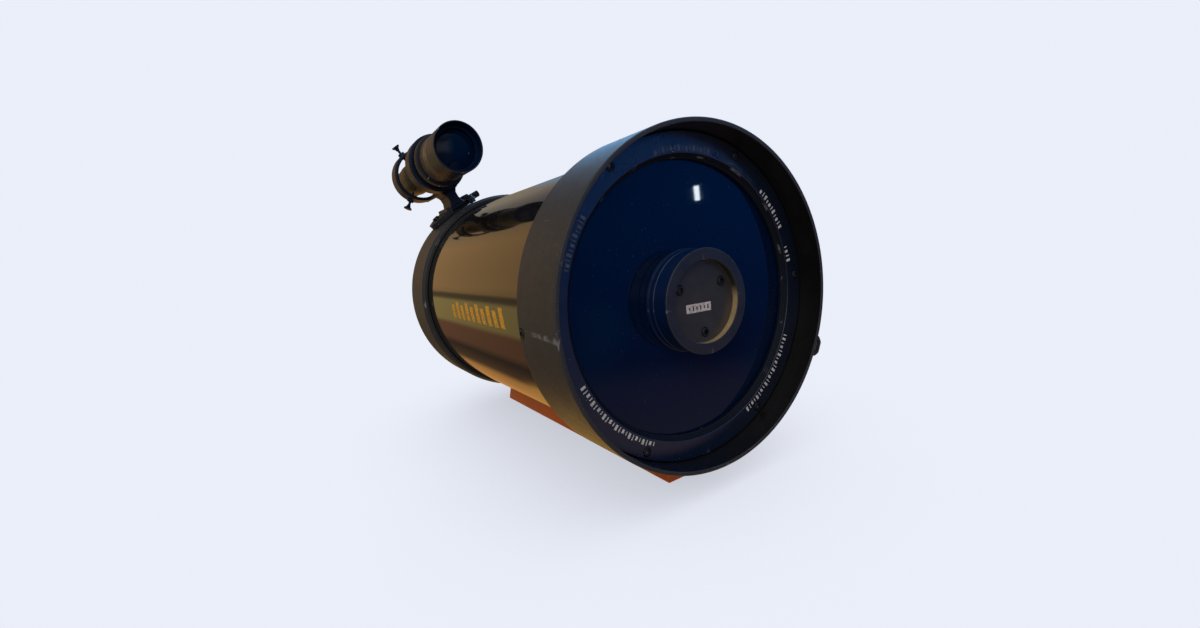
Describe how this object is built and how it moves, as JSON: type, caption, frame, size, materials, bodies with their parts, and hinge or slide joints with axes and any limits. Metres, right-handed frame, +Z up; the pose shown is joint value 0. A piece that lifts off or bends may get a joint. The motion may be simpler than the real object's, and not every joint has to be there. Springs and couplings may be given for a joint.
{
  "type": "schmidt-cassegrain telescope",
  "caption": "Short closed telescope tube with a corrector glass and secondary holder in front, a finder scope on a bracket at the rear, focus knob, visual back and an orange dovetail bar below",
  "frame": {"origin": "centre of the dovetail bar's bottom face, which is the face that rests on a mount", "axes": "+Y runs along the optical axis from the front glass to the rear, +Z is up, away from the bar, +X completes the frame"},
  "size_m": [0.1864, 0.378, 0.263],
  "materials": {
    "cell_paint": "matt black fine-grained paint, rubbed bright at the rim",
    "satin_black": "satin black",
    "corrector_glass": "clear glass with a dark blue coating sheen",
    "lens_glass": "coated lens glass",
    "rubber": "matt black rubber",
    "black_steel": "blackened steel",
    "steel": "bright steel",
    "aluminium": "plain machined aluminium",
    "mirror": "front-coated glass mirror",
    "tube_gloss": "gloss black enamel",
    "orange_bar": "burnt orange anodised aluminium"
  },
  "bodies": {
    "tube_assembly": {"front_cell": "cell_paint", "corrector_retaining_ring": "satin_black", "corrector_plate": "corrector_glass", "corrector_gasket": "rubber", "retaining_screw_1": "black_steel", "retaining_screw_2": "black_steel", "retaining_screw_3": "black_steel", "retaining_screw_4": "black_steel", "retaining_screw_5": "black_steel", "retaining_screw_6": "black_steel", "secondary_holder": "satin_black", "secondary_baffle_nut": "satin_black", "tube_barrel": "tube_gloss", "front_cell_screw_1": "black_steel", "front_cell_screw_2": "black_steel", "front_cell_screw_3": "black_steel", "rear_cell": "cell_paint", "baffle_tube": "satin_black", "focus_bearing_plate": "aluminium", "focus_plate_screw_1": "black_steel", "focus_plate_screw_2": "black_steel", "focus_plate_screw_3": "black_steel", "visual_back": "satin_black", "dovetail_bar": "orange_bar", "dovetail_screw_1": "black_steel", "dovetail_screw_2": "black_steel", "dovetail_screw_3": "black_steel", "dovetail_screw_4": "black_steel", "finder_shoe": "satin_black", "finder_shoe_screw_1": "black_steel", "finder_shoe_screw_2": "black_steel"},
    "secondary_pivot_body": {"secondary_pivot": "steel"},
    "secondary_mirror_body": {"secondary_mirror_plate": "aluminium", "secondary_mirror": "mirror"},
    "collimation_screw_body_1": {"collimation_screw_1": "black_steel"},
    "collimation_screw_body_2": {"collimation_screw_2": "black_steel"},
    "collimation_screw_body_3": {"collimation_screw_3": "black_steel"},
    "primary_mirror_body": {"primary_mirror": "mirror", "mirror_carrier": "aluminium", "mirror_lock_ring": "satin_black"},
    "focus_knob_body": {"focus_shaft": "steel", "focus_knob": "satin_black", "focus_knob_grip": "rubber"},
    "visual_back_ring_body": {"visual_back_ring": "satin_black"},
    "visual_back_thumbscrew_body_1": {"visual_back_thumbscrew_1": "satin_black"},
    "visual_back_thumbscrew_body_2": {"visual_back_thumbscrew_2": "satin_black"},
    "finder_lock_screw_body": {"finder_lock_screw": "black_steel"},
    "finder_bracket_body": {"finder_bracket": "satin_black"},
    "finder_o_ring_body": {"finder_o_ring": "rubber"},
    "finder_tube_body": {"finder_tube": "satin_black", "finder_eyepiece": "satin_black", "finder_eye_lens": "lens_glass"},
    "finder_thumbscrew_body_1": {"finder_thumbscrew_1": "black_steel"},
    "finder_thumbscrew_body_2": {"finder_thumbscrew_2": "black_steel"},
    "finder_spring_plunger_body": {"finder_spring_plunger": "steel"},
    "finder_objective_body": {"finder_objective_cell": "satin_black", "finder_objective_lens": "lens_glass"},
    "finder_lock_ring_body": {"finder_lock_ring": "satin_black"}
  },
  "joints": [
    {"name": "secondary_tilt_sideways", "type": "hinge", "parent": "tube_assembly", "child": "secondary_pivot_body", "pos_m": [0, -0.13435, 0.106], "axis": [0, 0, 1], "range_deg": [-1, 1]},
    {"name": "secondary_tilt_updown", "type": "hinge", "parent": "secondary_pivot_body", "child": "secondary_mirror_body", "pos_m": [0, -0.13435, 0.106], "axis": [1, 0, 0], "range_deg": [-1, 1]},
    {"name": "collimation_screw_turn_1", "type": "hinge", "parent": "tube_assembly", "child": "collimation_screw_body_1", "pos_m": [0.01472, -0.1415, 0.1145], "axis": [0, -1, 0], "range_deg": [-134, 134]},
    {"name": "collimation_screw_turn_2", "type": "hinge", "parent": "tube_assembly", "child": "collimation_screw_body_2", "pos_m": [-0.01472, -0.1415, 0.1145], "axis": [0, -1, 0], "range_deg": [-134, 134]},
    {"name": "collimation_screw_turn_3", "type": "hinge", "parent": "tube_assembly", "child": "collimation_screw_body_3", "pos_m": [0, -0.1415, 0.089], "axis": [0, -1, 0], "range_deg": [-154, 154]},
    {"name": "focus_knob_turn", "type": "hinge", "parent": "tube_assembly", "child": "focus_knob_body", "pos_m": [-0.034, 0.1825, 0.072], "axis": [0, 1, 0], "range_deg": [-2707, 2707]},
    {"name": "primary_mirror_slide", "type": "slide", "parent": "tube_assembly", "child": "primary_mirror_body", "axis": [0, 1, 0], "range_m": [-0.006, 0.006]},
    {"name": "visual_back_ring_turn", "type": "hinge", "parent": "tube_assembly", "child": "visual_back_ring_body", "pos_m": [0, 0.1775, 0.106], "axis": [0, 1, 0], "range_deg": [-720, 720]},
    {"name": "visual_back_thumbscrew_turn_1", "type": "hinge", "parent": "tube_assembly", "child": "visual_back_thumbscrew_body_1", "pos_m": [0, 0.1935, 0.131], "axis": [0, 0, 1], "range_deg": [-720, 720]},
    {"name": "visual_back_thumbscrew_turn_2", "type": "hinge", "parent": "tube_assembly", "child": "visual_back_thumbscrew_body_2", "pos_m": [0.025, 0.1935, 0.106], "axis": [1, 0, 0], "range_deg": [-720, 720]},
    {"name": "finder_lock_screw_turn", "type": "hinge", "parent": "tube_assembly", "child": "finder_lock_screw_body", "pos_m": [-0.01777, 0.142, 0.20075], "axis": [0.9232, 0, 0.3843], "range_deg": [-720, 720]},
    {"name": "finder_bracket_slide", "type": "slide", "parent": "tube_assembly", "child": "finder_bracket_body", "axis": [0, 1, 0], "range_m": [0, 0.045]},
    {"name": "finder_tilt_1", "type": "hinge", "parent": "finder_bracket_body", "child": "finder_o_ring_body", "pos_m": [-0.05188, 0.1235, 0.23063], "axis": [-0.5, 0, -0.866], "range_deg": [-0.6, 0.6]},
    {"name": "finder_tilt_2", "type": "hinge", "parent": "finder_o_ring_body", "child": "finder_tube_body", "pos_m": [-0.05188, 0.1235, 0.23063], "axis": [-0.5, 0, 0.866], "range_deg": [-0.6, 0.6]},
    {"name": "finder_thumbscrew_turn_1", "type": "hinge", "parent": "finder_bracket_body", "child": "finder_thumbscrew_body_1", "pos_m": [-0.06688, 0.1875, 0.25661], "axis": [-0.5, 0, 0.866], "range_deg": [-299, 299]},
    {"name": "finder_thumbscrew_turn_2", "type": "hinge", "parent": "finder_bracket_body", "child": "finder_thumbscrew_body_2", "pos_m": [-0.06688, 0.1875, 0.20465], "axis": [-0.5, 0, -0.866], "range_deg": [-299, 299]},
    {"name": "finder_spring_plunger_slide", "type": "slide", "parent": "finder_bracket_body", "child": "finder_spring_plunger_body", "axis": [1, 0, 0], "range_m": [0, 0.0012]},
    {"name": "finder_objective_turn", "type": "hinge", "parent": "finder_tube_body", "child": "finder_objective_body", "pos_m": [-0.05188, 0.0775, 0.23063], "axis": [0, 1, 0], "range_deg": [-360, 360]},
    {"name": "finder_lock_ring_turn", "type": "hinge", "parent": "finder_tube_body", "child": "finder_lock_ring_body", "pos_m": [-0.05188, 0.1045, 0.23063], "axis": [0, 1, 0], "range_deg": [-360, 360]}
  ],
  "couplings": [
    {"joint": "collimation_screw_turn_1", "follows": "secondary_tilt_sideways", "ratio": 132.15},
    {"joint": "collimation_screw_turn_2", "follows": "secondary_tilt_sideways", "ratio": -132.15},
    {"joint": "collimation_screw_turn_3", "follows": "secondary_tilt_updown", "ratio": 152.59},
    {"joint": "focus_knob_turn", "follows": "primary_mirror_slide", "rad_per_m": 7874},
    {"joint": "finder_thumbscrew_turn_1", "follows": "finder_tilt_1", "ratio": -497.5},
    {"joint": "finder_thumbscrew_turn_2", "follows": "finder_tilt_2", "ratio": 497.5}
  ]
}
